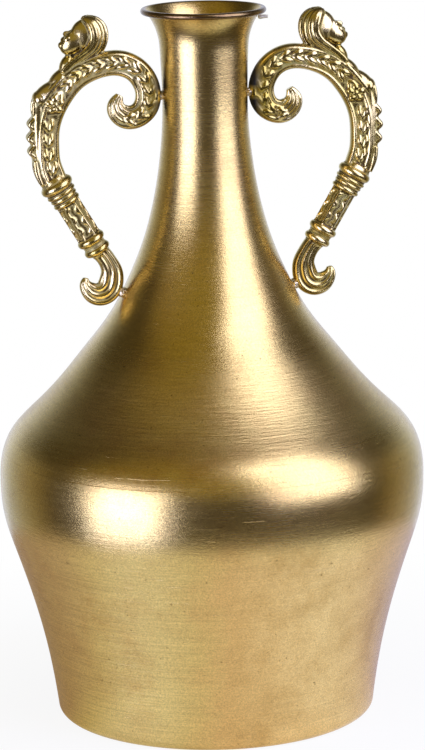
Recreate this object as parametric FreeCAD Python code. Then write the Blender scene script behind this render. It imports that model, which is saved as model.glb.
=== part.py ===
import FreeCAD, Part

import math
import os

from FreeCAD import Matrix, Placement, Rotation, Vector

# Two-handled urn vase: two spun sheet shells, a wired rolled rim and a cast scroll handle brazed on each side.
# Millimetres, +Z up. The origin is the centre of the foot, and the handles stand along X.

# Sheet wall of the vase: outside radii, and heights above the standing face
sheet_thickness = 1.0
foot_radius = 91.6
foot_round = 5.0
belly_radius = 122.5
belly_height = 137.0
seam_height = 158.0
waist_radius = 24.4
waist_height = 350.0
throat_radius = 25.2
throat_length = 38.0
flare_height = 22.0
mouth_radius = 35.6
curl_turn = 270.0

# Rim wire with its loose tail under the curl, and the filler ring inside the seam
wire_radius = 0.7
wire_clearance = 0.1
tail_drop = 4.3
tail_setback = 2.3
tail_reach = 4.7
tail_azimuth = -9.0
seam_bead_radius = 2.2

# Cast handle: overall size, scrolled band, round stem, and the figure on its shoulder
handle_reach = 77.2
handle_height = 166.0
band_width = 15.0
band_depth = 11.0
stem_radius = 6.3
stem_bead_radius = 9.2
stem_flats = 6
head_length = 30.0
head_width = 16.0
bust_radius = 8.4
fold_radius = 3.7
rosette_radius = 4.4
relief_height = 0.8

# Where each handle meets the neck and the shoulder, and the filler beads there
contact_height = 361.0
braze_gap = 0.8
lean_rounds = 6
upper_bead_height = 7.0
lower_bead_height = 7.4

# Wall outline: steps out and up from foot to belly, then steps in and up from belly to waist
lower_wall_shares = ((0, 0), (0.09, 0.146), (0.24, 0.328), (0.495, 0.547), (0.757, 0.73), (0.948, 0.876), (1, 1))
upper_wall_shares = ((0.006, 0.061), (0.057, 0.131), (0.197, 0.202), (0.345, 0.272), (0.512, 0.366), (0.668, 0.46),
                     (0.778, 0.554), (0.864, 0.648), (0.925, 0.742), (0.973, 0.859), (1, 1))

# Places on the handle: shares of its reach, from 0 at the neck, and of its height, from 0 at the bottom
upper_contact_share = (0, 0.72)
lower_contact_share = (0.328, 0.043)
stem_top_share = (0.799, 0.434)
stem_bottom_share = (0.498, 0.196)
bust_share = (0.84, 0.729)
rosette_share = (0.788, 0.711)
hair_share = (0.53, 0.935)
face_share = (0.64, 0.918)
nape_share = (0.6, 0.863)
throat_share = (0.68, 0.845)
fold_shares = ((0.94, 0.639), (0.952, 0.591), (0.946, 0.546))

# Stations of the two bands, tip first: place, then half width and half depth as shares of the band's size
upper_band_shares = (
    (0.306, 0.727, 0.14, 0.25), (0.333, 0.69, 0.36, 0.33), (0.276, 0.653, 0.45, 0.36), (0.218, 0.649, 0.46, 0.37),
    (0.155, 0.661, 0.47, 0.38), (0.114, 0.684, 0.49, 0.39), (0.096, 0.712, 0.49, 0.4), (0.097, 0.74, 0.49, 0.41),
    (0.12, 0.772, 0.49, 0.42), (0.168, 0.804, 0.49, 0.43), (0.235, 0.826, 0.49, 0.44), (0.319, 0.837, 0.49, 0.45),
    (0.403, 0.835, 0.48, 0.47), (0.516, 0.823, 0.5, 0.5), (0.64, 0.793, 0.52, 0.5), (0.736, 0.745, 0.53, 0.5),
    (0.816, 0.684, 0.55, 0.5), (0.858, 0.618, 0.55, 0.5), (0.868, 0.558, 0.54, 0.5), (0.86, 0.504, 0.54, 0.5),
    (0.822, 0.455, 0.55, 0.5), (0.785, 0.415, 0.5, 0.45))
lower_band_shares = (
    (0.59, 0.1, 0.1, 0.2), (0.593, 0.083, 0.22, 0.27), (0.57, 0.06, 0.34, 0.32), (0.527, 0.045, 0.43, 0.36),
    (0.468, 0.044, 0.48, 0.39), (0.418, 0.062, 0.49, 0.4), (0.399, 0.088, 0.47, 0.4), (0.397, 0.12, 0.42, 0.4),
    (0.418, 0.149, 0.36, 0.41), (0.455, 0.176, 0.35, 0.42), (0.504, 0.2, 0.36, 0.43))

# Half of a band's section, from its outer edge to its inner edge: a rounded border beside a sunk middle
half_section_shares = ((1, 0), (0.97, 0.55), (0.84, 0.94), (0.66, 0.96), (0.5, 0.78), (0, 0.74),
                       (-0.5, 0.78), (-0.66, 0.96), (-0.84, 0.94), (-0.97, 0.55), (-1, 0))

# Leaves on the bands: place, and the way that each points in degrees
leaf_shares = ((0.244, 0.644, 175), (0.166, 0.652, 155), (0.103, 0.68, 120), (0.09, 0.722, 92), (0.116, 0.763, 65),
               (0.166, 0.799, 45), (0.226, 0.823, 22), (0.308, 0.836, 5), (0.412, 0.834, -5), (0.516, 0.817, -18),
               (0.606, 0.787, -35), (0.684, 0.751, -48), (0.839, 0.648, -82), (0.846, 0.594, -90),
               (0.846, 0.54, -92), (0.835, 0.492, -102))
leaf_size_shares = (0.3, 0.19)

# Beads on the stem: place along it, then radius and half thickness as shares of the bead radius
stem_bead_shares = ((0.042, 1.07, 0.27), (0.142, 0.97, 0.1), (0.205, 0.89, 0.1), (0.272, 0.89, 0.13),
                    (0.844, 0.91, 0.24), (0.99, 0.86, 0.22))
stem_flats_shares = (0.28, 0.82)
stem_collar_share = 0.8
stem_core_share = 0.88

# Forms of the figure: half length and half width as shares of the head's length
hair_size_shares = (0.36, 0.36)
face_size_shares = (0.34, 0.26)
nape_size_shares = (0.36, 0.24)
throat_size_shares = (0.32, 0.18)


def level(radius, height):
    return Vector(radius, 0, height)


def on_handle(reach_share, height_share):
    return level(reach_share * handle_reach, height_share * handle_height)


def direction_at(angle):
    return level(math.cos(angle), math.sin(angle))


def angle_of(vector):
    return math.atan2(vector.z, vector.x)


def curve_through(points):
    curve = Part.BSplineCurve()
    curve.interpolate(points)
    return curve


def sideways(curve, point):
    tangent = curve.tangent(curve.parameter(point))[0]
    return level(tangent.z, -tangent.x)


def arc_about(centre, radius, start, end):
    points = [centre + radius * direction_at(angle) for angle in (start, (start + end) / 2, end)]
    return Part.Arc(*points).toShape()


def filled(edges):
    return Part.Face(Part.Wire(edges))


def revolved(face):
    return face.revolve(Vector(), Vector(0, 0, 1), 360)


def rounded_foot(solid, radius):
    lowest = min(solid.Edges, key=lambda edge: (round(edge.BoundBox.ZMax, 3), -edge.Length))
    return solid.makeFillet(radius, [lowest])


def ellipsoid(centre, half_length, half_depth, half_height, tilt=0):
    stretch = Matrix()
    stretch.scale(half_length, half_depth, half_height)
    body = Part.makeSphere(1).transformGeometry(stretch)
    body.rotate(Vector(), Vector(0, -1, 0), tilt)
    body.translate(centre)
    return body


# Sheet wall of the vase
def wall_stations():
    stations = []
    for out_share, up_share in lower_wall_shares:
        radius = foot_radius + out_share * (belly_radius - foot_radius)
        stations.append(level(radius, up_share * belly_height))
    for in_share, up_share in upper_wall_shares:
        radius = belly_radius - in_share * (belly_radius - waist_radius)
        stations.append(level(radius, belly_height + up_share * (waist_height - belly_height)))
    stations.append(level(throat_radius, waist_height + throat_length))
    return stations


outer_stations = wall_stations()
outer_curve = curve_through(outer_stations)
station_normals = [sideways(outer_curve, station) for station in outer_stations]
inner_stations = [station - sheet_thickness * normal for station, normal in zip(outer_stations, station_normals)]
inner_curve = curve_through(inner_stations)

# The flare is an arc that leaves the throat in line with it and touches the curl round the wire
curl_radius = wire_radius + sheet_thickness
vase_height = waist_height + throat_length + flare_height
wire_centre = level(mouth_radius - curl_radius, vase_height - curl_radius)
throat_end = outer_stations[-1]
throat_normal = station_normals[-1]
throat_step = throat_end - wire_centre
flare_radius = (throat_step.dot(throat_step) - wire_radius ** 2) / (-2 * (throat_step.dot(throat_normal) + wire_radius))
flare_centre = throat_end + flare_radius * throat_normal
flare_start = angle_of(-throat_normal) % (2 * math.pi)
flare_end = angle_of(wire_centre - flare_centre)
curl_root_outside = wire_centre + wire_radius * direction_at(flare_end)
curl_root_inside = wire_centre + curl_radius * direction_at(flare_end)


def outer_volume():
    foot = outer_stations[0]
    floor = Part.makeLine(level(0, foot.z), foot)
    flare = arc_about(flare_centre, flare_radius, flare_start, flare_end)
    top = Part.makePolygon([curl_root_outside, curl_root_inside, level(0, curl_root_inside.z), level(0, foot.z)])
    volume = revolved(filled([floor, outer_curve.toShape(), flare, *top.Edges]))
    return rounded_foot(volume, foot_round)


def cavity_section():
    foot = inner_stations[0]
    floor = Part.makeLine(level(0, foot.z), foot)
    flare = arc_about(flare_centre, flare_radius + sheet_thickness, flare_start, flare_end)
    top = Part.makePolygon([curl_root_inside, level(0, curl_root_inside.z), level(0, foot.z)])
    return filled([floor, inner_curve.toShape(), flare, *top.Edges])


def cavity():
    above_floor = revolved(cavity_section()).cut(Part.makeCylinder(belly_radius, sheet_thickness))
    return rounded_foot(above_floor, foot_round - sheet_thickness)


def curl():
    end = flare_end - math.radians(curl_turn)
    inner = arc_about(wire_centre, wire_radius, flare_end, end)
    outer = arc_about(wire_centre, curl_radius, flare_end, end)
    start_cap = Part.makeLine(outer.valueAt(outer.FirstParameter), inner.valueAt(inner.FirstParameter))
    end_cap = Part.makeLine(inner.valueAt(inner.LastParameter), outer.valueAt(outer.LastParameter))
    return revolved(filled([start_cap, inner, end_cap, outer]))


def seam_ring():
    bead = Part.makeCircle(seam_bead_radius, level(wall_radius_at(seam_height) - sheet_thickness, seam_height),
                           Vector(0, 1, 0))
    return revolved(filled([bead]).common(cavity_section()))


def wire_tail():
    corner = wire_centre - level(tail_setback, tail_drop)
    reach = level(tail_reach, 0)
    leg = corner - wire_centre
    tail = Part.makeCylinder(wire_radius, leg.Length, wire_centre, leg)
    tail = tail.fuse([Part.makeSphere(wire_radius, corner), Part.makeCylinder(wire_radius, tail_reach, corner, reach)])
    tail.rotate(Vector(), Vector(0, 0, 1), tail_azimuth)
    return tail.removeSplitter()


def wall_radius_at(height):
    across = Part.makeLine(level(0, height), level(belly_radius + band_width, height))
    return across.distToShape(outer_curve.toShape())[1][0][0].x


# Cast handle, in its own frame: out along X from the neck, up along Z
def section(centre, side, half_width, half_depth):
    points = [centre + across * half_width * side + Vector(0, deep * half_depth, 0)
              for across, deep in half_section_shares]
    mirrored = [Vector(point.x, -point.y, point.z) for point in points[-2:0:-1]]
    outline = Part.BSplineCurve()
    outline.interpolate(points + mirrored, PeriodicFlag=True)
    return Part.Wire(outline.toShape())


def band(station_shares):
    places = [on_handle(reach, height) for reach, height, _, _ in station_shares]
    spine = curve_through(places)
    sections = []
    for place, (_, _, width_share, depth_share) in zip(places, station_shares):
        side = sideways(spine, place)
        sections.append(section(place, side, width_share * band_width, depth_share * band_depth))
    return Part.makeLoft(sections, True, False)


def stem():
    top = on_handle(*stem_top_share)
    axis = on_handle(*stem_bottom_share) - top
    pieces = [Part.makeCylinder(stem_core_share * stem_radius, axis.Length)]
    flats_start, flats_end = stem_flats_shares
    pieces.append(Part.makeCylinder(stem_collar_share * stem_bead_radius, flats_start * axis.Length))
    corner_radius = stem_radius / math.cos(math.pi / stem_flats)
    corners = []
    for corner in range(stem_flats + 1):
        angle = math.pi / 2 + 2 * math.pi * corner / stem_flats
        corners.append(Vector(corner_radius * math.cos(angle), corner_radius * math.sin(angle), 0))
    prism = Part.Face(Part.makePolygon(corners)).extrude(Vector(0, 0, (flats_end - flats_start) * axis.Length))
    prism.translate(Vector(0, 0, flats_start * axis.Length))
    pieces.append(prism)
    for place_share, radius_share, half_share in stem_bead_shares:
        half = half_share * stem_bead_radius
        neck = radius_share * stem_bead_radius - half
        middle = place_share * axis.Length
        bead = arc_about(level(neck, middle), half, -math.pi / 2, math.pi / 2)
        sides = Part.makePolygon([level(neck, middle + half), level(0, middle + half), level(0, middle - half),
                                  level(neck, middle - half)])
        pieces.append(revolved(filled([bead, *sides.Edges])))
    whole = pieces[0].fuse(pieces[1:])
    whole.Placement = Placement(top, Rotation(Vector(0, 0, 1), axis))
    return whole


def rounded(place_share, size_shares, depth, tilt):
    half_length, half_height = (share * head_length for share in size_shares)
    return ellipsoid(on_handle(*place_share), half_length, depth / 2, half_height, tilt)


def figure():
    hair = rounded(hair_share, hair_size_shares, head_width, 0)
    face = rounded(face_share, face_size_shares, head_width - 2 * relief_height, -35)
    nape = rounded(nape_share, nape_size_shares, head_width - 2 * relief_height, -20)
    throat = rounded(throat_share, throat_size_shares, band_depth, -65)
    bust = ellipsoid(on_handle(*bust_share), bust_radius, band_depth / 2 + relief_height, bust_radius)
    return [hair, face, nape, throat, bust]


def relief():
    proud_depth = band_depth + 2 * relief_height
    middle = Vector(0, proud_depth / 2, 0)
    rosette = Part.makeCylinder(rosette_radius, proud_depth, on_handle(*rosette_share) - middle, Vector(0, 1, 0))
    pieces = [rosette]
    for place in fold_shares:
        start = on_handle(*place) - Vector(0, band_depth / 2, 0)
        pieces.append(Part.makeCylinder(fold_radius, band_depth, start, Vector(0, 1, 0)))
    half_length, half_width = (share * band_width for share in leaf_size_shares)
    for reach, height, angle in leaf_shares:
        pieces.append(ellipsoid(on_handle(reach, height), half_length, band_depth / 2, half_width, angle))
    return pieces


def casting():
    upper = band(upper_band_shares)
    return upper.fuse([band(lower_band_shares), stem(), *figure(), *relief()])


def handle_on_right():
    """The casting with its upper contact on the neck, leaned until its lower contact meets the shoulder."""
    pivot = on_handle(*upper_contact_share)
    seat = level(wall_radius_at(contact_height) + braze_gap, contact_height)
    drop = on_handle(*lower_contact_share) - pivot
    lean = 0
    for _ in range(lean_rounds):
        lower = seat + Rotation(Vector(0, -1, 0), lean).multVec(drop)
        shift = wall_radius_at(lower.z) + braze_gap - lower.x
        lean += math.degrees(math.atan2(shift, seat.z - lower.z))
    handle = casting()
    handle.translate(seat - pivot)
    handle.rotate(seat, Vector(0, -1, 0), lean)
    return handle, seat, lower


def braze(seat, height, neighbours):
    bead = Part.makeSphere(height / 2, seat - level(braze_gap / 2, 0))
    return bead.cut(neighbours)


def turned_half(shape):
    other = shape.copy()
    other.rotate(Vector(), Vector(0, 0, 1), 180)
    return other


def solids_of(shape):
    return Part.Compound(shape.Solids) if len(shape.Solids) > 1 else shape.Solids[0]


def main():
    inside = cavity()
    vase = outer_volume()
    wall = vase.cut(inside)
    tail = wire_tail()
    below_seam = Part.makeCylinder(belly_radius + sheet_thickness, seam_height)
    upper_shell = wall.cut(below_seam).fuse(curl()).cut(tail)
    lower_shell = wall.common(below_seam)
    wire = Part.makeTorus(wire_centre.x, wire_radius - wire_clearance, level(0, wire_centre.z)).fuse(tail)

    handle, upper_seat, lower_seat = handle_on_right()
    upper_braze = braze(upper_seat, upper_bead_height, [vase, handle])
    lower_braze = braze(lower_seat, lower_bead_height, [vase, handle])

    nodes = {
        "upper_shell": upper_shell,
        "lower_shell": lower_shell,
        "rim_wire": wire,
        "seam_braze": seam_ring(),
        "handle_right": handle,
        "handle_left": turned_half(handle),
        "upper_braze_right": upper_braze,
        "upper_braze_left": turned_half(upper_braze),
        "lower_braze_right": lower_braze,
        "lower_braze_left": turned_half(lower_braze),
    }
    os.makedirs("parts", exist_ok=True)
    for name, shape in nodes.items():
        solid = solids_of(shape)
        solid.exportStep(f"parts/{name}.step")
        box = solid.BoundBox
        print(f"{name}: {len(shape.Solids)} solid, valid {solid.isValid()}, volume {solid.Volume:.0f} mm3, "
              f"z {box.ZMin:.1f} to {box.ZMax:.1f}, x {box.XMin:.1f} to {box.XMax:.1f}")


main()
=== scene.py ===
import math

import bmesh
import bpy
import numpy as np
from mathutils import Matrix, Vector, noise


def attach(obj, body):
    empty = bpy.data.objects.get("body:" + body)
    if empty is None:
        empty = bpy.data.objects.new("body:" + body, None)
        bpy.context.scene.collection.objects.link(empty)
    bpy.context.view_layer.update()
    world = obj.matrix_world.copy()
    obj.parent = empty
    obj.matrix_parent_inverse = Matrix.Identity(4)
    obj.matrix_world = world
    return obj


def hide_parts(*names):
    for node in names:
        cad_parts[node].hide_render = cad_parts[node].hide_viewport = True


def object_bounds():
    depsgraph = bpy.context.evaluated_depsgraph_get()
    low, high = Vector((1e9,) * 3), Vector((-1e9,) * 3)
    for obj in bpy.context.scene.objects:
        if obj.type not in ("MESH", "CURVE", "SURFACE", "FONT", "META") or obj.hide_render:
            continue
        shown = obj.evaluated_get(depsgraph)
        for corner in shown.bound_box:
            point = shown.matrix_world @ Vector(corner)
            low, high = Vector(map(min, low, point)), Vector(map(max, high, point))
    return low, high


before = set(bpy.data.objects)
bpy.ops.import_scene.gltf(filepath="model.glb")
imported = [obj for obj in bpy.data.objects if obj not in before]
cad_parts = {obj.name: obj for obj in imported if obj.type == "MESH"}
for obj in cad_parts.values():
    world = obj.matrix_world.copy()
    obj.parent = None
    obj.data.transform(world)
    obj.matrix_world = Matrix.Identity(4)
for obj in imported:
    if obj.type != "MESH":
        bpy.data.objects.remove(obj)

cadBox = [list(corner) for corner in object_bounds()]
mm = 0.001  # shapes are made in millimetres and scaled down when a piece is finished
print("frame loaded")


# helpers for all pieces

def smoothLine(points, stepsPerSpan, placeColumns=2):
    # natural cubic spline through rows, of which the first columns are the place
    rows = np.array(points, dtype=float)
    count = len(rows)
    spans = np.linalg.norm(np.diff(rows[:, :placeColumns], axis=0), axis=1)
    system = np.eye(count)
    right = np.zeros_like(rows)
    for i in range(1, count - 1):
        system[i, i - 1:i + 2] = spans[i - 1], 2 * (spans[i - 1] + spans[i]), spans[i]
        right[i] = 6 * ((rows[i + 1] - rows[i]) / spans[i] - (rows[i] - rows[i - 1]) / spans[i - 1])
    bend = np.linalg.solve(system, right)
    out = [rows[0]]
    for i, span in enumerate(spans):
        for step in range(1, stepsPerSpan + 1):
            b = step / stepsPerSpan
            a = 1 - b
            pull = ((a ** 3 - a) * bend[i] + (b ** 3 - b) * bend[i + 1]) * span ** 2 / 6
            out.append(a * rows[i] + b * rows[i + 1] + pull)
    return np.array(out)


def arcPoints(centre, radius, start, end, steps):
    angles = np.linspace(math.radians(start), math.radians(end), steps + 1)
    return [(centre[0] + radius * math.cos(a), centre[1] + radius * math.sin(a)) for a in angles]


def finishPiece(bm, name, replaced=(), sharp=None):
    bmesh.ops.remove_doubles(bm, verts=bm.verts, dist=1e-4)
    bmesh.ops.recalc_face_normals(bm, faces=bm.faces)
    bmesh.ops.scale(bm, vec=(mm, mm, mm), verts=bm.verts)
    mesh = bpy.data.meshes.new(name)
    bm.to_mesh(mesh)
    bm.free()
    piece = bpy.data.objects.new(name, mesh)
    bpy.context.scene.collection.objects.link(piece)
    mesh.shade_smooth()
    if sharp:
        mesh.set_sharp_from_angle(angle=math.radians(sharp))
    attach(piece, "root")
    if replaced:
        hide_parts(*replaced)
    return piece


# sheet wall: two spun shells, in millimetres out from the axis and up from the foot

wallShape = {
    "sheet": 1.0, "footRadius": 91.6, "footRound": 5.0, "bellyRadius": 122.5, "bellyHeight": 137.0,
    "seamHeight": 158.0, "waistRadius": 24.4, "waistHeight": 350.0, "throatRadius": 25.2, "throatHeight": 388.0,
    "mouthRadius": 35.6, "wireRadius": 0.7, "curlTurn": 270.0, "seamRound": 0.06, "footLean": 8.0,
    "turnSteps": 288, "spanSteps": 10, "flareSteps": 16,
    # shares of the way out and up to the belly, then in and up to the waist
    "outAndUp": ((0, 0), (0.09, 0.146), (0.24, 0.328), (0.495, 0.547), (0.757, 0.73), (0.948, 0.876), (1, 1)),
    "inAndUp": ((0.006, 0.061), (0.057, 0.131), (0.197, 0.202), (0.345, 0.272), (0.512, 0.366), (0.668, 0.46),
                (0.778, 0.554), (0.864, 0.648), (0.925, 0.742), (0.973, 0.859), (1, 1)),
}
vaseHeight = cadBox[1][2] / mm


def wallLine(inset=0.0):
    # the wall's profile from foot to throat, set in from the outer face
    w = wallShape
    stations = [(w["footRadius"] + out * (w["bellyRadius"] - w["footRadius"]), up * w["bellyHeight"])
                for out, up in w["outAndUp"]]
    stations += [(w["bellyRadius"] - step * (w["bellyRadius"] - w["waistRadius"]),
                  w["bellyHeight"] + up * (w["waistHeight"] - w["bellyHeight"])) for step, up in w["inAndUp"]]
    stations.append((w["throatRadius"], w["throatHeight"]))
    line = smoothLine(stations, w["spanSteps"])
    along = np.gradient(line, axis=0)
    along /= np.linalg.norm(along, axis=1)[:, None]
    outward = np.column_stack((along[:, 1], -along[:, 0]))
    return line - inset * outward, outward


def radiusAt(height, inset=0.0):
    line, _ = wallLine(inset)
    return float(np.interp(height, line[:, 1], line[:, 0]))


def flareAndCurl():
    # the flare is an arc that leaves the throat in line and touches the curl round the wire
    w = wallShape
    line, outward = wallLine()
    throat, away = line[-1], outward[-1]
    curlRadius = w["wireRadius"] + w["sheet"]
    wire = np.array((w["mouthRadius"] - curlRadius, vaseHeight - curlRadius))
    step = throat - wire
    radius = (step @ step - w["wireRadius"] ** 2) / (-2 * (step @ away + w["wireRadius"]))
    centre = throat + radius * away
    start = math.degrees(math.atan2(-away[1], -away[0])) % 360
    end = math.degrees(math.atan2(wire[1] - centre[1], wire[0] - centre[0]))
    curlEnd = end - w["curlTurn"]
    under = arcPoints(centre, radius, start, end, w["flareSteps"]) + arcPoints(wire, w["wireRadius"], end, curlEnd, 30)
    over = arcPoints(wire, curlRadius, curlEnd, end, 40)
    return under + over + arcPoints(centre, radius + w["sheet"], end, start, w["flareSteps"])


def spunShell(name, outline, replaced, closed=False):
    bm = bmesh.new()
    verts = [bm.verts.new((radius, 0, height)) for radius, height in outline]
    edges = [bm.edges.new(pair) for pair in zip(verts, verts[1:] + verts[:1] if closed else verts[1:])]
    bmesh.ops.spin(bm, geom=verts + edges, axis=(0, 0, 1), cent=(0, 0, 0), angle=2 * math.pi,
                   steps=wallShape["turnSteps"], use_merge=True)
    return finishPiece(bm, name, (replaced,), sharp=50)


def buildUpperShell():
    w = wallShape
    foot = w["seamHeight"] + w["seamRound"]
    outer = [tuple(place) for place in wallLine()[0] if place[1] > foot]
    inner = [tuple(place) for place in wallLine(w["sheet"])[0] if place[1] > foot]
    lowest = [(radiusAt(foot, w["sheet"]), w["seamHeight"]), (radiusAt(foot) - w["seamRound"], w["seamHeight"]),
              (radiusAt(foot), foot)]
    outline = lowest + outer + flareAndCurl()[1:-1] + inner[::-1]
    return spunShell("upper_shell_skin", outline, "upper_shell", closed=True)


def buildLowerShell():
    w = wallShape
    lean = math.radians(w["footLean"])
    centre = (w["footRadius"] + w["footRound"] * (math.tan(lean) - 1 / math.cos(lean)), w["footRound"])
    foot = arcPoints(centre, w["footRound"], -90, -w["footLean"], 10)
    innerFoot = arcPoints(centre, w["footRound"] - w["sheet"], -w["footLean"], -90, 8)
    top = w["seamHeight"] - w["seamRound"]
    outer = [tuple(place) for place in wallLine()[0] if foot[-1][1] + 1 < place[1] < top]
    inner = [tuple(place) for place in wallLine(w["sheet"])[0] if foot[-1][1] + 1 < place[1] < top]
    edge = [(radiusAt(top), top), (radiusAt(top) - w["seamRound"], w["seamHeight"]),
            (radiusAt(top, w["sheet"]), w["seamHeight"])]
    outline = [(0, 0)] + foot + outer + edge + inner[::-1] + innerFoot + [(0, w["sheet"])]
    return spunShell("lower_shell_skin", outline, "lower_shell")


upperShell = buildUpperShell()
lowerShell = buildLowerShell()
print("shells spun")


# cast handle, in millimetres out from the vase's axis and up from the foot

castShape = {
    "voxel": 0.46, "smoothing": 0.42, "smoothRounds": 2, "rowSteps": 8, "faceSteps": 30,
    "wideRounds": 11, "fineRounds": 3,
    # the face's field as a share of the band's depth, and the husk leaves on it
    "field": 0.82, "leafRun": (2.7, 15.5), "leafStep": 7.2, "leafLength": 6.8, "leafHalfWidth": 2.8, "leafShift": 0.08,
    # tip first: out, up, half width, half depth
    "upperBand": ((48.8, 362.1, 2.1, 2.6), (50.9, 355.9, 5.4, 3.6), (46.5, 349.8, 6.75, 4.2), (42.0, 349.1, 6.9, 4.3),
                  (37.2, 351.1, 7.05, 4.4), (34.0, 354.9, 7.3, 4.5), (32.6, 359.6, 7.35, 4.6), (32.7, 364.2, 7.35, 4.7),
                  (34.5, 369.6, 7.35, 4.8), (38.2, 374.9, 7.35, 4.9), (43.3, 378.5, 7.35, 5.0), (49.8, 380.3, 7.35, 5.1),
                  (56.3, 380.0, 7.2, 5.2), (65.0, 378.0, 7.5, 5.5), (74.6, 373.0, 7.8, 5.6), (82.0, 365.1, 7.95, 5.7),
                  (88.2, 354.9, 8.1, 5.7), (91.0, 344.0, 7.7, 5.7), (91.4, 334.0, 7.6, 5.7), (90.9, 325.1, 7.7, 5.6),
                  (88.5, 316.9, 7.9, 5.6), (85.8, 310.3, 7.5, 5.2)),
    "lowerBand": ((70.7, 258.0, 1.5, 2.0), (71.0, 255.2, 3.3, 2.9), (69.2, 251.4, 5.1, 3.6), (65.9, 248.9, 6.45, 4.0),
                  (61.3, 248.7, 7.2, 4.3), (57.5, 251.7, 7.35, 4.5), (56.0, 256.0, 7.05, 4.6), (55.8, 261.3, 6.3, 4.7),
                  (57.5, 266.1, 5.5, 4.8), (60.3, 270.6, 5.3, 4.9), (64.1, 274.6, 5.4, 4.9)),
    "stemTop": (86.9, 313.4), "stemBottom": (63.6, 273.9), "stemRadius": 6.2,
    "panelEnds": (13.0, 37.0), "panelBorder": 0.85, "panelBevel": 0.3, "panelSink": 0.7,
    "panelLeaves": (17.2, 21.0, 24.8, 28.6, 32.4), "panelLeafSizes": (1.35, 1.1, 2.7), "panelLeafLean": 38,
    # along the stem, radius, half thickness
    "stemBeads": ((1.9, 9.85, 2.6), (6.5, 8.9, 1.0), (9.3, 8.25, 0.9), (12.4, 8.25, 1.25), (38.7, 8.4, 2.3),
                  (45.3, 7.9, 2.1)),
    "stemCore": ((-3.5, 6.5), (0, 8.2), (5, 8.1), (11, 7.2), (13.4, 5.6), (36.6, 5.6), (38, 6.8), (43, 6.6), (47.5, 5.2),
                 (49.5, 4.6)),
    "bodyLeaves": ((90.3, 347.0), (90.6, 338.6), (90.2, 330.4), (88.9, 322.6)),
    "rosette": (86.2, 358.6), "petals": 5, "petalRing": 3.2, "petalRadius": 2.3,
    # the fins on the robe's back
    "folds": ((100.8, 347.4), (101.4, 339.6), (100.9, 331.8)),
}


def ringedForm(bm, rings):
    # a closed form skinned over rings of points, capped at both ends
    size = len(rings[0])
    made = bmesh.ops.create_grid(bm, x_segments=size, y_segments=len(rings) - 1, size=1)["verts"]
    for vert, place in zip(made, [point for ring in rings for point in [*ring, ring[0]]]):
        vert.co = place
    bmesh.ops.remove_doubles(bm, verts=made, dist=1e-5)
    bmesh.ops.holes_fill(bm, edges=[edge for edge in bm.edges if edge.is_boundary], sides=0)


def ridge(bm, path, radii, squash=1.0, facing=(0, 1, 0), steps=5, sides=8):
    # a round or flattened rib that follows a path and swells or tapers along it
    rows = [(*place, radius) for place, radius in zip(path, radii)]
    if len(rows) > 2:
        rows = smoothLine(rows, steps, 3)
    rows = np.array(rows, dtype=float)
    along = np.gradient(rows[:, :3], axis=0)
    rings = []
    for row, way in zip(rows, along):
        sideWay = np.cross(way, facing)
        sideWay /= np.linalg.norm(sideWay)
        upWay = np.cross(sideWay, way / np.linalg.norm(way))
        turns = np.linspace(0, 2 * math.pi, sides, endpoint=False)
        radius = max(row[3], 0.05)
        rings.append([row[:3] + radius * (math.cos(t) * sideWay + squash * math.sin(t) * upWay) for t in turns])
    ringedForm(bm, rings)


def bulb(bm, centre, sizes, tilt=0.0, detail=12):
    turn = Matrix.Rotation(math.radians(-tilt), 4, "Y")
    stretch = Matrix.Diagonal((*sizes, 1))
    bmesh.ops.create_uvsphere(bm, u_segments=detail, v_segments=detail // 2 + 2, radius=1,
                              matrix=Matrix.Translation(centre) @ turn @ stretch)


def bandRows(stations):
    rows = smoothLine(stations, castShape["rowSteps"])
    along = np.gradient(rows[:, :2], axis=0)
    along /= np.linalg.norm(along, axis=1)[:, None]
    outer = np.column_stack((-along[:, 1], along[:, 0]))
    return rows, along, outer


def easeBetween(low, high, value):
    share = min(max((value - low) / (high - low), 0), 1)
    return share * share * (3 - 2 * share)


def swell(value, middle, half):
    return max(0.0, 1 - ((value - middle) / half) ** 2) ** 2


def upperFace(across, station):
    # depth of the face at a place across the band, 1 at its outer edge, and along it from the scroll's tip
    field = castShape["field"]
    edge = (1 - abs(across) ** 5) ** 0.5
    scroll = field + (1 - field) * max(easeBetween(0.44, 0.62, across), easeBetween(0.6, 0.74, -across))
    flutes = 0.86 + 0.14 * math.cos(2 * math.pi * 2.3 * (across + 0.02))
    inTip = 1 - easeBetween(1.4, 3.2, station)
    inside = (1 - easeBetween(7.6, 9.4, station)) * (1 - easeBetween(-0.22, 0.0, across))
    scroll += (flutes - scroll) * max(inTip, inside)
    body = field + (1 - field) * easeBetween(0.62, 0.74, -across) + 0.24 * swell(across, 0.46, 0.26)
    hem = 0.86 + 0.13 * math.cos(2 * math.pi * 1.9 * (across - 0.46))
    body += (hem - body) * easeBetween(18.6, 19.8, station) * easeBetween(-0.1, 0.1, across)
    return edge * (scroll + (body - scroll) * easeBetween(15.2, 16.2, station))


def lowerFace(across, station):
    edge = (1 - abs(across) ** 5) ** 0.5
    flutes = 0.87 + 0.13 * math.cos(2 * math.pi * 1.6 * (across - 0.1))
    plain = easeBetween(5.5, 8.0, station) * (1 - easeBetween(-0.35, -0.1, across))
    return edge * (flutes + (0.93 - flutes) * plain)


def castBand(bm, stations, face):
    rows, _, outer = bandRows(stations)
    steps = castShape["faceSteps"]
    rings = []
    for index, (row, side) in enumerate(zip(rows, outer)):
        station = index / castShape["rowSteps"]
        front, back = [], []
        for step in range(steps + 1):
            across = math.cos(math.pi * step / steps)
            depth = row[3] * face(across, station)
            out, up = row[:2] + side * across * row[2]
            front.append((out, -depth, up))
            back.append((out, depth, up))
        rings.append(front + back[-2:0:-1])
    ringedForm(bm, rings)


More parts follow.
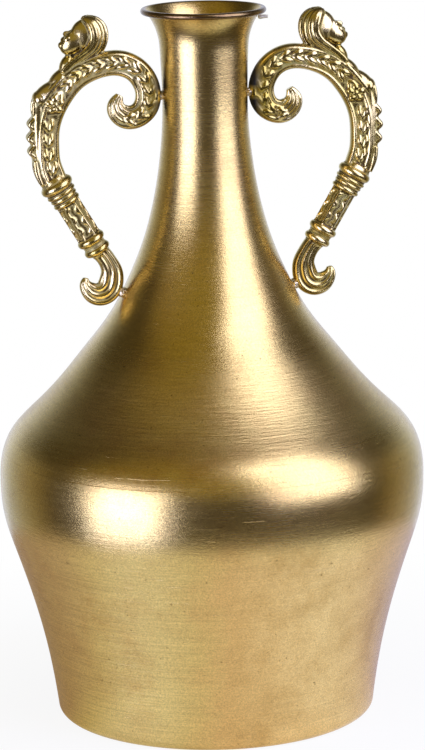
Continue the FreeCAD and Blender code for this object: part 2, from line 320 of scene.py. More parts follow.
def leafPlaces(place, way, size=1.0):
    # places ahead of a leaf's middle and aside from it, at a lift off the handle's middle plane
    side = (-way[1], way[0])

    def at(ahead, aside, lift):
        return (place[0] + way[0] * ahead * size + side[0] * aside * size, lift,
                place[1] + way[1] * ahead * size + side[1] * aside * size)

    return at


def husk(bm, place, way, depth):
    # a husk leaf on both faces: two lobes that open backwards from a point, and a bud between them
    at = leafPlaces(place, way)
    half, length = castShape["leafHalfWidth"], castShape["leafLength"]
    for face in (-1, 1):
        for lobe in (-1, 1):
            path = (at(0.5 * length, 0.1 * lobe, depth * face),
                    at(0.14 * length, 0.4 * half * lobe, (depth + 0.3) * face),
                    at(-0.22 * length, 0.78 * half * lobe, (depth + 0.15) * face),
                    at(-0.5 * length, half * lobe, depth * face))
            ridge(bm, path, (0.6, 1.55, 1.6, 0.7), 0.72, steps=4)
        bulb(bm, at(-0.32 * length, 0, depth * face), (1.5, 0.7, 0.6), math.degrees(math.atan2(way[1], way[0])), 8)


def pointedLeaf(bm, place, way, size):
    at = leafPlaces(place, way, size)
    for face in (-1, 1):
        for lobe in (-1, 1):
            path = (at(-3.5, 1.9 * lobe, 4.4 * face), at(-0.4, 2.0 * lobe, 4.8 * face), at(4.4, 0.2 * lobe, 4.4 * face))
            ridge(bm, path, (0.8, 1.35, 0.5), 0.9)
        bulb(bm, at(-0.6, 0, 4.6 * face), (2.4, 0.7, 0.9), math.degrees(math.atan2(way[1], way[0])), 10)


def bandLeaves(bm):
    c = castShape
    rows, along, outer = bandRows(c["upperBand"])
    travelled = np.concatenate(([0], np.cumsum(np.linalg.norm(np.diff(rows[:, :2], axis=0), axis=1))))
    first, last = (int(c["rowSteps"] * station) for station in c["leafRun"])
    for place in np.arange(travelled[first], travelled[last], c["leafStep"]):
        index = int(np.argmin(abs(travelled - place)))
        row, way, side = rows[index], along[index], outer[index]
        shift = c["leafShift"] * row[2]
        husk(bm, row[:2] + side * shift, -way, row[3] * c["field"] - 0.1)
    for out, up in c["bodyLeaves"]:
        pointedLeaf(bm, (out, up), (-0.03, -1.0), 0.95)


def rosette(bm):
    c = castShape
    out, up = c["rosette"]
    for face in (-1, 1):
        y = 5.0 * face
        bulb(bm, (out, y, up), (4.4, 1.0, 4.4))
        bulb(bm, (out, y + 1.0 * face, up), (1.6, 1.0, 1.6))
        for petal in range(c["petals"]):
            turn = 2 * math.pi * petal / c["petals"] + 0.3
            place = (out + c["petalRing"] * math.cos(turn), y + 0.6 * face, up + c["petalRing"] * math.sin(turn))
            bulb(bm, place, (c["petalRadius"], 1.35, c["petalRadius"] * 0.85), math.degrees(turn))


def drapery(bm):
    # the robe's back, its three fins, and the hems on both faces
    ridge(bm, ((96.6, 0, 356.0), (98.0, 0, 349.0), (98.4, 0, 341.0), (98.4, 0, 333.0), (97.4, 0, 325.0),
               (94.6, 0, 316.0)), (1.6, 2.0, 2.0, 2.0, 1.8, 1.2), 2.3)
    for out, up in castShape["folds"]:
        for side in (-3.3, -1.1, 1.1, 3.3):
            ridge(bm, ((out - 3.4, side, up + 4.3), (out - 1.4, side, up + 1.6), (out - 0.2, side, up - 0.1),
                       (out - 1.1, side, up - 1.3), (out - 3.4, side, up - 3.0)), (1.2, 1.5, 1.35, 1.35, 1.2), 1.15)
    for face in (-1, 1):
        ridge(bm, ((94.9, 4.2 * face, 362), (95.4, 4.4 * face, 352), (95.6, 4.4 * face, 343), (95.4, 4.3 * face, 333),
                   (94.2, 4.2 * face, 322), (91.0, 4.2 * face, 313.5)), (1.4, 2.5, 2.5, 2.3, 1.9, 1.2), 0.42)
        ridge(bm, ((98.0, 4.0 * face, 327.0), (97.2, 4.2 * face, 320), (94.4, 4.2 * face, 312.5)), (1.4, 1.5, 1.1), 0.8)
        ridge(bm, ((97.3, 4.0 * face, 362), (98.0, 4.4 * face, 357), (98.2, 3.8 * face, 351.5)), (1.0, 1.2, 0.7), 0.8)


def bust(bm):
    bulb(bm, (89.5, 0, 365.2), (9.8, 6.1, 5.2), -33, 24)      # shoulder and upper arm
    bulb(bm, (94.4, 0, 361.6), (4.3, 5.9, 4.9), -20, 20)
    bulb(bm, (82.6, 0, 372.6), (8.2, 5.6, 4.6), -42, 20)
    bulb(bm, (78.6, 0, 380.6), (6.0, 4.2, 3.7), -62, 18)      # throat
    for face in (-1, 1):                                      # collar of the robe
        ridge(bm, ((81.5, 5.0 * face, 374.2), (86.0, 5.6 * face, 369.4), (91.0, 5.4 * face, 363.0),
                   (94.0, 4.6 * face, 358.5)), (1.2, 1.5, 1.4, 0.9), 0.6)


headShape = {
    "faceMiddle": (73.9, 393.2), "forward": (0.6, 0.8), "crown": (-0.8, 0.6), "faceSizes": (6.4, 5.6, 9.2),
    # paths of the outermost and the innermost lock, and how far each stands off the middle
    "outerLock": ((66.6, 407.0), (61.2, 405.8), (57.2, 401.8), (55.9, 396.3), (56.8, 390.4), (59.6, 386.4),
                  (65.0, 382.8), (71.5, 379.6), (77.5, 376.0)),
    "innerLock": ((68.8, 406.2), (65.8, 403.4), (64.3, 399.2), (64.6, 394.4), (67.0, 390.0), (71.0, 386.6),
                  (75.2, 383.6), (78.8, 380.4), (81.6, 376.8)),
    "standOff": (1.5, 3.9, 5.5, 6.4, 6.6), "lockRadius": 1.5,
}


def onFace(lift, up, side=0.0):
    # a place over the face's egg shape, the eye line being a little above its middle
    h = headShape
    ahead, wide, tall = h["faceSizes"]
    ahead = ahead * math.sqrt(max(1 - (up / tall) ** 2 - (side / wide) ** 2, 0)) + lift
    return (h["faceMiddle"][0] + ahead * h["forward"][0] + up * h["crown"][0], side,
            h["faceMiddle"][1] + ahead * h["forward"][1] + up * h["crown"][1])


def head(bm):
    h = headShape
    tilt = math.degrees(math.atan2(h["forward"][1], h["forward"][0]))
    bulb(bm, (66.6, 0, 396.2), (9.6, 6.3, 10.0), 0, 24)              # skull under the hair
    bulb(bm, (h["faceMiddle"][0], 0, h["faceMiddle"][1]), h["faceSizes"], tilt, 32)
    bulb(bm, onFace(-1.7, -6.9), (2.5, 2.4, 2.0), tilt, 14)          # chin
    nose = (onFace(-0.3, 2.6), onFace(0.25, 0.8), onFace(0.8, -1.2), onFace(0.35, -2.2))
    ridge(bm, nose, (0.55, 0.65, 0.9, 0.7), 0.9)
    for side in (-1, 1):
        brow = (onFace(-0.25, 2.5, 0.7 * side), onFace(-0.1, 3.0, 2.3 * side), onFace(-0.25, 2.3, 3.9 * side))
        ridge(bm, brow, (0.5, 0.65, 0.45), 1, (1, 0, 0))
        bulb(bm, onFace(-0.5, 1.4, 2.3 * side), (0.8, 1.2, 0.7), tilt, 10)     # eye
        bulb(bm, onFace(-1.3, -2.0, 3.0 * side), (1.9, 1.9, 2.4), tilt, 12)    # cheek
        bulb(bm, onFace(0.05, -2.0, 0.8 * side), (0.65, 0.6, 0.55), tilt, 8)   # nostril
    for up, thick in ((-3.9, 0.5), (-4.9, 0.6)):
        lip = (onFace(-0.2, up, -1.7), onFace(0.1, up, 0), onFace(-0.2, up, 1.7))
        ridge(bm, lip, (0.25, thick, 0.25), 1, (0.6, 0, 0.8))


def hair(bm):
    # locks laid side by side from the outermost to the innermost, on both faces
    h = headShape
    count = len(h["standOff"])
    for number, standOff in enumerate(h["standOff"]):
        share = number / (count - 1)
        for face in (-1, 1):
            path, radii = [], []
            for place, (outer, inner) in enumerate(zip(h["outerLock"], h["innerLock"])):
                along = place / (len(h["outerLock"]) - 1)
                wave = 0.5 * math.sin(place * 1.9 + number * 1.3)
                y = standOff * (0.35 + 0.65 * min(along * 6, 1)) * (1 - 0.3 * max(along - 0.5, 0) * 2) + 0.15 * wave
                path.append((outer[0] + (inner[0] - outer[0]) * share + wave * 0.35, face * y,
                             outer[1] + (inner[1] - outer[1]) * share))
                fullness = 0.72 + 0.28 * math.sin(math.pi * min(along * 1.6 + 0.1, 1))
                radii.append(h["lockRadius"] * fullness * (1 - 0.35 * max(along - 0.6, 0)))
            ridge(bm, path, radii, 0.85, steps=4)
    bulb(bm, (67.8, 0, 385.6), (8.6, 5.0, 4.0), -26, 18)


def stem(bm):
    c = castShape
    axis = np.array(c["stemBottom"]) - np.array(c["stemTop"])
    place = Matrix.Translation((c["stemTop"][0], 0, c["stemTop"][1])) @ Matrix.Rotation(math.atan2(*axis), 4, "Y")
    coreAlong, coreRadius = zip(*c["stemCore"])
    outline = [(0, coreAlong[0])]
    for along in np.arange(coreAlong[0], coreAlong[-1] + 0.1, 0.3):
        radius = float(np.interp(along, coreAlong, coreRadius))
        for middle, beadRadius, half in c["stemBeads"]:
            off = (along - middle) / half
            if abs(off) < 1:
                radius = max(radius, beadRadius - half * 0.9 * (1 - math.sqrt(1 - off * off)))
        outline.append((radius, float(along)))
    outline.append((0, outline[-1][1]))
    verts = [bm.verts.new((radius, 0, along)) for radius, along in outline]
    edges = [bm.edges.new(pair) for pair in zip(verts, verts[1:])]
    before = set(bm.verts) - set(verts)
    bmesh.ops.spin(bm, geom=verts + edges, axis=(0, 0, 1), cent=(0, 0, 0), angle=2 * math.pi, steps=48, use_merge=True)
    turned = [vert for vert in bm.verts if vert not in before]
    bmesh.ops.remove_doubles(bm, verts=turned, dist=1e-4)
    turned = [vert for vert in bm.verts if vert not in before]
    bmesh.ops.transform(bm, matrix=place, verts=turned)

    # six-sided shaft with a sunk panel on each side
    start, end = c["panelEnds"]
    corner = c["stemRadius"] / math.cos(math.pi / 6)
    cone = bmesh.ops.create_cone(bm, cap_ends=True, segments=6, radius1=corner, radius2=corner, depth=end - start,
                                 matrix=Matrix.Rotation(math.pi / 2, 4, "Z"))["verts"]
    panels = [face for face in {f for v in cone for f in v.link_faces} if len(face.verts) == 4]
    bmesh.ops.inset_individual(bm, faces=panels, thickness=c["panelBorder"], depth=0)
    inner = bmesh.ops.inset_individual(bm, faces=panels, thickness=c["panelBevel"], depth=-c["panelSink"])
    shaft = list(set(cone) | {vert for face in panels + inner["faces"] for vert in face.verts})
    bmesh.ops.transform(bm, matrix=place @ Matrix.Translation((0, 0, (start + end) / 2)), verts=shaft)

    # small leaves, leaning one way and the other, down every panel
    leafForm = Matrix.Diagonal((*c["panelLeafSizes"], 1))
    for side in range(6):
        around = Matrix.Rotation(side * math.pi / 3, 4, "Z")
        for step, along in enumerate(c["panelLeaves"]):
            lean = Matrix.Rotation(math.radians(c["panelLeafLean"]) * (1 if step % 2 else -1), 4, "X")
            spot = Matrix.Translation((c["stemRadius"] - c["panelSink"], 0, along))
            bmesh.ops.create_uvsphere(bm, u_segments=12, v_segments=8, radius=1,
                                      matrix=place @ around @ spot @ lean @ leafForm)


def fused(bm, name):
    # one skin over all the overlapping forms, as the mould gives
    source = bpy.data.meshes.new(name)
    bm.to_mesh(source)
    bm.free()
    holder = bpy.data.objects.new(name, source)
    bpy.context.scene.collection.objects.link(holder)
    remesh = holder.modifiers.new("skin", "REMESH")
    remesh.mode = "VOXEL"
    remesh.voxel_size = castShape["voxel"]
    smooth = holder.modifiers.new("worn", "SMOOTH")
    smooth.factor = castShape["smoothing"]
    smooth.iterations = castShape["smoothRounds"]
    bpy.context.view_layer.update()
    shaped = holder.evaluated_get(bpy.context.evaluated_depsgraph_get())
    result = bmesh.new()
    result.from_mesh(shaped.to_mesh())
    shaped.to_mesh_clear()
    bpy.data.objects.remove(holder)
    bpy.data.meshes.remove(source)
    return result


def markHollows(piece):
    # how sunk each point lies, kept as an attribute for the patina
    mesh = piece.data
    count = len(mesh.vertices)
    places = np.empty(count * 3)
    normals = np.empty(count * 3)
    mesh.vertices.foreach_get("co", places)
    mesh.vertices.foreach_get("normal", normals)
    places, normals = places.reshape(-1, 3), normals.reshape(-1, 3)
    ends = np.empty(len(mesh.edges) * 2, dtype=int)
    mesh.edges.foreach_get("vertices", ends)
    first, second = ends.reshape(-1, 2).T
    linked = np.bincount(np.concatenate((first, second)), minlength=count)

    def spread(values):
        total = np.bincount(first, values[second], count) + np.bincount(second, values[first], count)
        return total / np.maximum(linked, 1)

    def sunkBelow(rounds):
        smoothed = places
        for _ in range(rounds):
            smoothed = np.column_stack([spread(smoothed[:, axis]) for axis in range(3)])
        return ((smoothed - places) * normals).sum(axis=1) / mm

    sunk = spread(sunkBelow(castShape["wideRounds"]) + 2.0 * sunkBelow(castShape["fineRounds"]))
    layer = mesh.attributes.new("hollow", "FLOAT", "POINT")
    layer.data.foreach_set("value", sunk.astype(np.float32))


def castHandle():
    bm = bmesh.new()
    castBand(bm, castShape["upperBand"], upperFace)
    castBand(bm, castShape["lowerBand"], lowerFace)
    for form in (bandLeaves, rosette, drapery, bust, head, hair, stem):
        form(bm)
    bmesh.ops.recalc_face_normals(bm, faces=bm.faces)
    right = finishPiece(fused(bm, "casting"), "handle_right_casting", ("handle_right",))
    markHollows(right)
    print("handle cast, triangles:", 2 * len(right.data.polygons))
    other = right.data.copy()
    other.transform(Matrix.Rotation(math.pi, 4, "Z"))
    left = bpy.data.objects.new("handle_left_casting", other)
    bpy.context.scene.collection.objects.link(left)
    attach(left, "root")
    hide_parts("handle_left")
    return right, left


rightHandle, leftHandle = castHandle()


# rim wire in the curl with its loose tail, and the filler beads that hold the handles

jointShape = {
    "wireRadius": 0.6, "tailAngle": -9.0,
    "tail": ((33.9, 407.6), (32.0, 404.6), (31.7, 404.1), (33.4, 404.0), (36.4, 404.0)),
    "tailRadii": (0.55, 0.75, 1.1, 1.15, 0.95),
    # place out and up, then half sizes
    "upperBead": ((25.1, 361.0), (2.1, 4.5, 2.5)), "lowerBead": ((50.2, 248.9), (2.7, 4.6, 3.0)), "lumps": 0.2,
}


def buildWire():
    w, j = wallShape, jointShape
    bm = bmesh.new()
    ringRadius = w["mouthRadius"] - w["wireRadius"] - w["sheet"]
    ringHeight = vaseHeight - w["wireRadius"] - w["sheet"]
    place = Matrix.Translation((ringRadius, 0, ringHeight)) @ Matrix.Rotation(math.pi / 2, 4, "X")
    made = bmesh.ops.create_circle(bm, segments=14, radius=j["wireRadius"], matrix=place)
    geom = made["verts"] + list({edge for vert in made["verts"] for edge in vert.link_edges})
    bmesh.ops.spin(bm, geom=geom, axis=(0, 0, 1), cent=(0, 0, 0), angle=2 * math.pi, steps=180, use_merge=True)
    bmesh.ops.remove_doubles(bm, verts=bm.verts, dist=1e-4)
    before = set(bm.verts)
    ridge(bm, [(out, 0, up) for out, up in j["tail"]], j["tailRadii"], sides=14)
    tail = [vert for vert in bm.verts if vert not in before]
    bmesh.ops.rotate(bm, verts=tail, cent=(0, 0, 0), matrix=Matrix.Rotation(math.radians(j["tailAngle"]), 3, "Z"))
    return finishPiece(bm, "rim_wire_and_tail", ("rim_wire",), sharp=50)


def buildBead(name, node, which, turn):
    (out, up), sizes = jointShape[which]
    bm = bmesh.new()
    bmesh.ops.create_icosphere(bm, subdivisions=5, radius=1)
    for vert in bm.verts:
        lump = noise.noise(vert.co * 1.7 + Vector((turn, up * 0.1, 0))) + 0.4 * noise.noise(vert.co * 4.1)
        vert.co *= 1 + jointShape["lumps"] * lump
    bmesh.ops.scale(bm, vec=sizes, verts=bm.verts)
    bmesh.ops.translate(bm, vec=(out, 0, up), verts=bm.verts)
    bmesh.ops.rotate(bm, verts=bm.verts, cent=(0, 0, 0), matrix=Matrix.Rotation(turn, 3, "Z"))
    return finishPiece(bm, name, (node,))


rimWire = buildWire()
beads = [buildBead(f"{which}_braze_bead_{side}", f"{which}_braze_{side}", f"{which}Bead", turn)
         for which in ("upper", "lower") for side, turn in (("right", 0.0), ("left", math.pi))]
print("wire and beads made")


# finishes, which measure in metres

class NodeSheet:
    # short ways to lay and join the shader nodes of a material or of the world
    def __init__(self, owner):
        owner.use_nodes = True
        self.owner = owner
        self.tree = owner.node_tree
        self.tree.nodes.clear()
        self.spaces = self.add("ShaderNodeTexCoord").outputs
        self.place = self.spaces["Object"]

    def feed(self, socket, value):
        if isinstance(value, bpy.types.NodeSocket):
            self.tree.links.new(value, socket)
        else:
            socket.default_value = value

    def add(self, kind, inputs=None, **settings):
        node = self.tree.nodes.new(kind)
        for name, value in settings.items():
            setattr(node, name, value)
        for name, value in (inputs or {}).items():
            self.feed(node.inputs[name], value)
        return node

    def noise(self, scale, detail=2.0, stretch=(1, 1, 1), roughness=0.5):
        place = self.place
        if stretch != (1, 1, 1):
            place = self.add("ShaderNodeMapping", {"Vector": place, "Scale": stretch}).outputs["Vector"]
        return self.add("ShaderNodeTexNoise", {"Vector": place, "Scale": scale, "Detail": detail,
                                               "Roughness": roughness}).outputs["Fac"]

    def spread(self, value, low, high, toLow=0.0, toHigh=1.0):
        return self.add("ShaderNodeMapRange", {"Value": value, "From Min": low, "From Max": high, "To Min": toLow,
                                               "To Max": toHigh}).outputs["Result"]

    def sums(self, operation, first, second):
        return self.add("ShaderNodeMath", {0: first, 1: second}, operation=operation).outputs["Value"]

    def offAxis(self, x, y):
        return self.sums("SQRT", self.sums("ADD", self.sums("MULTIPLY", x, x), self.sums("MULTIPLY", y, y)), 0.0)

    def grey(self, tone):
        return self.add("ShaderNodeCombineColor", {"Red": tone, "Green": tone, "Blue": tone}).outputs["Color"]

    def mix(self, factor, first, second, blend="MIX"):
        node = self.add("ShaderNodeMix", data_type="RGBA", blend_type=blend)
        # sockets 6 and 7 take the two colours
        for socket, value in zip(("Factor", 6, 7), (factor, first, second)):
            self.feed(node.inputs[socket], value)
        return node.outputs[2]

    def ramp(self, share, stops):
        node = self.add("ShaderNodeValToRGB", {"Fac": share})
        while len(node.color_ramp.elements) < len(stops):
            node.color_ramp.elements.new(0.5)
        for stop, (position, tint) in zip(node.color_ramp.elements, stops):
            stop.position = position
            stop.color = opaque(tint)
        return node.outputs["Color"]

    def bump(self, height, strength, distance, below=None):
        inputs = {"Height": height, "Strength": strength, "Distance": distance}
        if below:
            inputs["Normal"] = below
        return self.add("ShaderNodeBump", inputs).outputs["Normal"]

    def shade(self, color, roughness, normal, metallic=1.0):
        shader = self.add("ShaderNodeBsdfPrincipled", {"Base Color": color, "Roughness": roughness, "Normal": normal,
                                                       "Metallic": metallic})
        self.add("ShaderNodeOutputMaterial", {"Surface": shader.outputs["BSDF"]})
        return self.owner


def opaque(color):
    return (*color, 1.0)


sheetLook = {
    "gold": (0.7, 0.515, 0.145), "brown": (0.56, 0.35, 0.1), "specks": (0.2, 0.12, 0.03), "rim": (0.2, 0.12, 0.045),
    "footRose": (0.82, 0.58, 0.215), "footOlive": (0.76, 0.6, 0.205), "roughness": 0.25, "roughnessSwing": 0.025,
    # from where to where, up, aside or out, one look gives way to the next
    "footEnds": (0.11, 0.15), "oliveEnds": (-0.034, -0.01), "shoulderStarts": (0.168, 0.182),
    "shoulderEnds": (0.2, 0.225), "brushedFootEnds": (0.1, 0.13), "streaksFade": (0.12, 0.15),
    "curlOut": (0.0322, 0.0334), "curlUp": (0.4045, 0.4052),
}


def sheetFinish():
    look = sheetLook
    m = NodeSheet(bpy.data.materials.new("spun_antique_gold"))
    x, y, height = m.add("ShaderNodeSeparateXYZ", {"Vector": m.place}).outputs
    patches = m.spread(m.noise(11, 4, roughness=0.6), 0.35, 0.65)
    clouds = m.spread(m.noise(38, 5, roughness=0.7), 0.38, 0.66)
    lines = m.spread(m.noise(22, 3, (1, 1, 40), 0.7), 0.3, 0.7)
    fineLines = m.spread(m.noise(55, 3, (1, 1, 16), 0.7), 0.3, 0.7)
    grain = m.spread(m.noise(1150, 3, roughness=0.8), 0.3, 0.7)
    dimples = m.noise(620, 2, roughness=0.6)

    # gold above, the foot rosy on the right and olive on the left, brown patches over all
    leftSide = m.spread(m.sums("ADD", x, m.spread(clouds, 0, 1, -0.006, 0.006)), *look["oliveEnds"], 1.0, 0.0)
    foot = m.mix(leftSide, opaque(look["footRose"]), opaque(look["footOlive"]))
    body = m.mix(m.spread(height, *look["footEnds"]), foot, opaque(look["gold"]))
    color = m.mix(m.spread(m.sums("MULTIPLY", patches, clouds), 0, 1, 0.0, 0.75), body, opaque(look["brown"]))

    # the brush marks show most low on the shoulder and on the left of the foot
    shoulder = m.sums("MULTIPLY", m.spread(height, *look["shoulderStarts"]),
                      m.spread(height, *look["shoulderEnds"], 1.0, 0.0))
    brushed = m.sums("MAXIMUM", m.spread(m.noise(6, 2, (1, 1, 3)), 0.46, 0.62, 0.1, 0.5), shoulder)
    brushedFoot = m.sums("MULTIPLY", leftSide, m.spread(height, *look["brushedFootEnds"], 0.9, 0.0))
    brushed = m.sums("MAXIMUM", brushed, brushedFoot)
    streaks = m.spread(m.noise(20, 3, (1, 1, 55), 0.7), 0.32, 0.68, -0.14, 0.12)
    fade = m.spread(height, *look["streaksFade"], 1.0, 0.35)
    streaks = m.sums("MULTIPLY", streaks, m.sums("MULTIPLY", brushed, fade))
    tone = m.sums("MULTIPLY", m.spread(lines, 0, 1, 0.95, 1.04), m.spread(grain, 0, 1, 0.72, 1.25))
    color = m.mix(1.0, color, m.grey(m.sums("ADD", tone, streaks)), "MULTIPLY")

    # bronze on the curl, specks and scratches
    curl = m.sums("MULTIPLY", m.spread(m.offAxis(x, y), *look["curlOut"]), m.spread(height, *look["curlUp"]))
    curl = m.sums("MULTIPLY", curl, m.spread(clouds, 0, 1, 0.7, 1.0))
    color = m.mix(curl, color, opaque(look["rim"]))
    specks = m.spread(m.noise(430, 1), 0.73, 0.79, 0.0, 0.6)
    color = m.mix(specks, color, opaque(look["specks"]))
    scratches = m.spread(m.noise(34, 1, (1, 1, 26)), 0.735, 0.76)

    rough = m.sums("ADD", m.spread(patches, 0, 1, -0.015, 0.03), m.spread(shoulder, 0, 1, 0.0, 0.07))
    least, most = look["roughness"] - look["roughnessSwing"], look["roughness"] + look["roughnessSwing"]
    roughness = m.sums("ADD", rough, m.spread(fineLines, 0, 1, least, most))
    normal = m.bump(dimples, 0.35, 0.0001)
    normal = m.bump(m.sums("MULTIPLY", m.spread(fineLines, 0, 1, -0.5, 0.5), brushed), 0.55, 0.00015, normal)
    normal = m.bump(scratches, 0.6, 0.00006, normal)
    normal = m.bump(grain, 0.5, 0.00005, normal)
    return m.shade(color, roughness, normal)


castLook = {
    # the last tint is black, for the painted shade where the upper scroll meets the neck
    "gold": (0.82, 0.66, 0.26), "olive": (0.58, 0.44, 0.1), "dark": (0.1, 0.058, 0.006), "paintedShade": (0.004, 0.004, 0.002),
    # patina in the hollows, left handle and right
    "brownish": ((0.58, 0.46, 0.12), (0.4, 0.29, 0.035)), "greenish": ((0.62, 0.57, 0.2), (0.48, 0.43, 0.1)),
    # how sunk a place is where the patina and the dark set in; the dark in the deepest hollows is grime and painted
    # shade
    "patinaSets": (0.03, 0.2), "darkSets": (0.18, 0.36),
    # beside the neck, for the browner zone and the painted shade: out from the axis, and up or down from the bead's
    # middle; on the left it reaches less far out
    "paintedShadeEnds": (0.0285, 0.0335), "paintedShadeStarts": (0.0015, 0.0045), "brownEnds": (0.034, 0.041), "lessOnLeft": 0.0018,
}


def castFinish():
    look = castLook
    m = NodeSheet(bpy.data.materials.new("rubbed_cast_brass"))
    hollow = m.add("ShaderNodeAttribute", attribute_name="hollow").outputs["Fac"]
    grain = m.noise(2200, 2)
    uneven = m.sums("ADD", hollow, m.spread(m.noise(160, 3), 0.3, 0.7, -0.06, 0.06))
    sunk, deepest = m.spread(uneven, *look["patinaSets"]), m.spread(uneven, *look["darkSets"])
    x, y, height = m.add("ShaderNodeSeparateXYZ", {"Vector": m.place}).outputs
    onRight = m.spread(x, -0.01, 0.01)
    brownish = m.mix(onRight, *(opaque(tint) for tint in look["brownish"]))
    greenish = m.mix(onRight, *(opaque(tint) for tint in look["greenish"]))
    patina = m.mix(m.spread(m.noise(75, 3), 0.45, 0.65), brownish, greenish)
    color = m.mix(m.spread(m.noise(45, 2), 0.35, 0.65), opaque(look["gold"]), opaque(look["olive"]))
    color = m.mix(sunk, color, patina)
    # darkest in the deepest hollows: grime, and painted shade where little light gets in
    color = m.mix(deepest, color, opaque(look["dark"]))

    # browner towards the neck, then painted shade: black where the upper scroll meets the neck above and below the
    # bead, standing in for the shade and dark reflection there
    beadMiddle = jointShape["upperBead"][0][1] * mm
    offBead = m.sums("ABSOLUTE", m.sums("SUBTRACT", height, beadMiddle), 0.0)
    out = m.sums("ADD", m.offAxis(x, y), m.spread(x, -0.01, 0.01, look["lessOnLeft"], 0.0))
    paintedShade = m.sums("MULTIPLY", m.spread(out, *look["paintedShadeEnds"], 1.0, 0.0), m.spread(offBead, *look["paintedShadeStarts"]))
    color = m.mix(m.spread(out, *look["brownEnds"], 0.75, 0.0), color, opaque(look["brownish"][1]))
    color = m.mix(paintedShade, color, opaque(look["paintedShade"]))
    roughness = m.sums("ADD", m.spread(sunk, 0, 1, 0.23, 0.46), m.spread(grain, 0.3, 0.7, -0.03, 0.03))
    roughness = m.sums("ADD", roughness, m.spread(paintedShade, 0, 1, 0.0, 0.45))
    metallic = m.sums("MULTIPLY", m.spread(sunk, 0, 1, 1.0, 0.5), m.spread(paintedShade, 0, 1, 1.0, 0.05))
    normal = m.bump(m.noise(330, 4, roughness=0.65), 0.6, 0.00022)
    normal = m.bump(grain, 0.3, 0.00003, normal)
    return m.shade(color, roughness, normal, metallic)


plainLooks = {
    "dull_wire": {"tint": (0.85, 0.78, 0.48), "roughness": 0.4, "blotches": 500, "metallic": 0.5},
    "bright_filler": {"tint": (0.84, 0.71, 0.36), "roughness": 0.28, "blotches": 420, "metallic": 0.9},
}


def plainFinish(name):
    look = plainLooks[name]
    m = NodeSheet(bpy.data.materials.new(name))
    blotch = m.noise(look["blotches"], 3)
    color = m.mix(1.0, opaque(look["tint"]), m.grey(m.spread(blotch, 0.3, 0.7, 0.75, 1.1)), "MULTIPLY")
    roughness = m.spread(blotch, 0.3, 0.7, look["roughness"] - 0.05, look["roughness"] + 0.08)
    normal = m.bump(m.noise(look["blotches"] * 4, 2), 0.4, 0.0001)
    return m.shade(color, roughness, normal, look["metallic"])


sheetGold = sheetFinish()
castBrass = castFinish()
wireBronze = plainFinish("dull_wire")
fillerGold = plainFinish("bright_filler")
coats = [(upperShell, sheetGold), (lowerShell, sheetGold), (rightHandle, castBrass), (leftHandle, castBrass),
         (rimWire, wireBronze)]
for piece, material in coats + [(bead, fillerGold) for bead in beads]:
    piece.data.materials.append(material)
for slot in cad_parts["seam_braze"].material_slots:
    slot.material = fillerGold
print("finishes laid")


# table, lamps and camera: azimuths in degrees from the camera's side of the vase, positive to its right

studio = {
    "viewTurn": 9.237, "tableRadius": 0.36, "tableTint": (0.89, 0.88, 0.75), "tableGlow": 0.9, "tableMirrored": 0.42,
    # azimuth, distance out, height of the middle, width, height, lean, brightness
    "softboxes": (("right", 56, 1.12, 1.07, 1.18, 1.88, 16.7, 2.65), ("left", -45.8, 1.3, 0.12, 0.88, 0.92, 0, 3.9)),
    "lampTint": (0.95, 1.0, 2.1),
    # azimuth round the vase and the painted gleam that the metal sees on the table there
    "tableGleam": ((-110, (0.5, 0.25, 0.04)), (-80, (0.55, 0.3, 0.1)), (-60, (0.82, 0.66, 0.34)),
                   (-40, (1.16, 1.14, 1.26)), (-24, (1.08, 1.04, 1.04)), (-8, (0.82, 0.64, 0.3)),
                   (8, (0.84, 0.7, 0.36)), (25, (1.06, 1.02, 0.92)), (42, (1.18, 1.24, 1.36)),
                   (62, (1.32, 1.46, 1.78)), (80, (1.1, 1.12, 1.2)), (95, (0.86, 0.76, 0.8)), (112, (0.72, 0.64, 0.9))),
    # share of the way from the camera's side to the back, and the room's tint there, low down and high up
    "roomLow": ((0.0, (0.04, 0.032, 0.018)), (0.38, (0.045, 0.036, 0.018)), (0.54, (0.03, 0.024, 0.012)),
                (0.64, (0.12, 0.092, 0.05)), (0.73, (0.21, 0.185, 0.14)), (0.82, (0.28, 0.28, 0.3)),
                (0.9, (0.36, 0.4, 0.52)), (0.96, (0.62, 0.69, 0.92))),
    "roomHigh": ((0.0, (0.2, 0.16, 0.03)), (0.38, (0.17, 0.13, 0.03)), (0.54, (0.04, 0.03, 0.014)),
                 (0.82, (0.04, 0.034, 0.02)), (0.91, (0.16, 0.17, 0.18)), (0.97, (0.5, 0.55, 0.7))),
    "roomStrength": 1.5, "roomBack": -178, "lowEnds": 0.12, "highStarts": 0.42, "dimWhite": 0.3,
    "camera": (-0.3276, -2.0145, 0.6423), "pan": 9.276, "pitch": 12.296, "roll": -1.063, "lens": 173.86,
}


def fromVase(azimuth, out, height):
    turn = math.radians(azimuth - studio["viewTurn"])
    return Vector((out * math.sin(turn), -out * math.cos(turn), height))


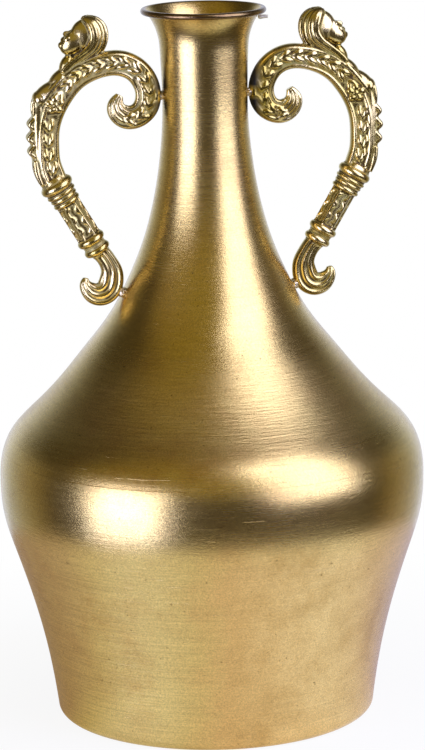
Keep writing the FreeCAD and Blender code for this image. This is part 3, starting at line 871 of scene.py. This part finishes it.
def buildTable():
    bm = bmesh.new()
    bmesh.ops.create_circle(bm, cap_ends=True, segments=96, radius=studio["tableRadius"])
    mesh = bpy.data.meshes.new("table_top")
    bm.to_mesh(mesh)
    bm.free()
    table = bpy.data.objects.new("table_top", mesh)
    bpy.context.scene.collection.objects.link(table)
    m = NodeSheet(bpy.data.materials.new("pale_table"))
    paths = m.add("ShaderNodeLightPath").outputs
    shiny = m.sums("MAXIMUM", paths["Is Glossy Ray"], paths["Is Transmission Ray"])
    seen = m.sums("MAXIMUM", paths["Is Camera Ray"], m.sums("MULTIPLY", shiny, studio["tableMirrored"]))
    away = m.add("ShaderNodeVectorMath", {0: m.place}, operation="LENGTH").outputs["Value"]
    glow = m.spread(away, 0.1, studio["tableRadius"], studio["tableGlow"], 1.0)
    diffuse = m.add("ShaderNodeBsdfDiffuse", {"Color": opaque(studio["tableTint"])}).outputs["BSDF"]
    x, y, _ = m.add("ShaderNodeSeparateXYZ", {"Vector": m.place}).outputs
    around = m.sums("ARCTAN2", x, m.sums("MULTIPLY", y, -1.0))
    turn = math.radians(studio["viewTurn"])
    # the ramp holds half tints, because its colours end at 1
    stops = [((azimuth + 180) / 360, [part / 2 for part in tint]) for azimuth, tint in studio["tableGleam"]]
    # painted light: in reflections the table glows, brighter and bluer towards the softboxes and dark behind the vase;
    # to the camera it stays white
    gleam = m.ramp(m.spread(around, -math.pi - turn, math.pi - turn), stops)
    gleam = m.mix(paths["Is Camera Ray"], gleam, (0.5, 0.5, 0.5, 1))
    white = m.add("ShaderNodeEmission", {"Color": gleam, "Strength": 2.0}).outputs["Emission"]
    both = m.add("ShaderNodeMixShader", {0: m.sums("MULTIPLY", seen, glow), 1: diffuse, 2: white}).outputs["Shader"]
    m.add("ShaderNodeOutputMaterial", {"Surface": both})
    mesh.materials.append(m.owner)


def buildWorld():
    # white behind the vase, a room for the metal to mirror, and a dim white for the rest
    world = bpy.data.worlds.new("studio")
    bpy.context.scene.world = world
    m = NodeSheet(world)
    paths = m.add("ShaderNodeLightPath").outputs
    shiny = m.sums("MAXIMUM", paths["Is Glossy Ray"], paths["Is Transmission Ray"])
    direction = m.spaces["Generated"]
    back = fromVase(studio["roomBack"], 0.5, 0)
    facing = m.add("ShaderNodeVectorMath", {0: direction, 1: back}, operation="DOT_PRODUCT").outputs["Value"]
    share = m.sums("ADD", facing, 0.5)
    up = m.add("ShaderNodeSeparateXYZ", {"Vector": direction}).outputs["Z"]
    high = m.spread(up, studio["lowEnds"], studio["highStarts"])
    tint = m.mix(high, m.ramp(share, studio["roomLow"]), m.ramp(share, studio["roomHigh"]))
    shades = [m.add("ShaderNodeBackground", {"Color": color, "Strength": strength}).outputs[0]
              for color, strength in ((tint, studio["roomStrength"]), ((1, 1, 1, 1), 1.0),
                                      ((1, 1, 1, 1), studio["dimWhite"]))]
    room, white, dim = shades
    seen = m.add("ShaderNodeMixShader", {0: paths["Is Camera Ray"], 1: dim, 2: white}).outputs[0]
    both = m.add("ShaderNodeMixShader", {0: shiny, 1: seen, 2: room}).outputs[0]
    m.add("ShaderNodeOutputWorld", {"Surface": both})


def buildSoftbox(name, azimuth, out, up, width, height, lean, brightness):
    lamp = bpy.data.lights.new(f"softbox_{name}", "AREA")
    lamp.shape = "RECTANGLE"
    lamp.size, lamp.size_y = width, height
    lamp.energy = brightness * math.pi * width * height
    lamp.color = studio["lampTint"]
    box = bpy.data.objects.new(f"softbox_{name}", lamp)
    box.location = fromVase(azimuth, out, up)
    facing = fromVase(azimuth, math.cos(math.radians(lean)), math.sin(math.radians(lean)))
    box.rotation_euler = facing.to_track_quat("Z", "Y").to_euler()
    bpy.context.scene.collection.objects.link(box)


def buildCamera():
    s = studio
    lens = bpy.data.cameras.new("view")
    lens.sensor_width = 36
    lens.lens = s["lens"]
    lens.clip_start, lens.clip_end = 0.05, 50
    view = bpy.data.objects.new("view", lens)
    bpy.context.scene.collection.objects.link(view)
    turn = Matrix.Rotation(-math.radians(s["pan"]), 4, "Z")
    tip = Matrix.Rotation(math.pi / 2 - math.radians(s["pitch"]), 4, "X")
    roll = Matrix.Rotation(math.radians(s["roll"]), 4, "Z")
    view.matrix_world = Matrix.Translation(s["camera"]) @ turn @ tip @ roll
    bpy.context.scene.camera = view


buildTable()
buildWorld()
for softbox in studio["softboxes"]:
    buildSoftbox(*softbox)
buildCamera()
bpy.context.scene.view_settings.view_transform = "Standard"
print("studio set")
